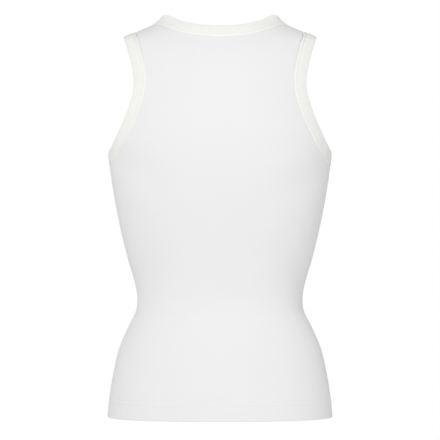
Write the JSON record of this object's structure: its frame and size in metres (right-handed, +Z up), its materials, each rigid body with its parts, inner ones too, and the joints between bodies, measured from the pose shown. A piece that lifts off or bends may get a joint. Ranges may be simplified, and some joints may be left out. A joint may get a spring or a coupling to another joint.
{
  "type": "sleeveless tank top",
  "caption": "Fitted sleeveless knit top with a high round neck, bound neck and armholes and a stitched hem, filled out as worn with nobody in it",
  "frame": {"origin": "between the shoulders, on the shoulder seams' line, level with where the neck seam meets the shoulder seams; the wearer's shoulders carry the garment there", "axes": "+Z up the body, -Y out of the wearer's front, +X towards the wearer's left"},
  "size_m": [0.3166, 0.2393, 0.5614],
  "materials": {
    "jersey": "matte fine cotton jersey",
    "binding": "matte folded fine rib"
  },
  "bodies": {
    "root": {"back_panel": "jersey", "front_panel": "jersey", "neckband": "binding", "armhole_band_left": "binding", "armhole_band_right": "binding"}
  },
  "joints": []
}
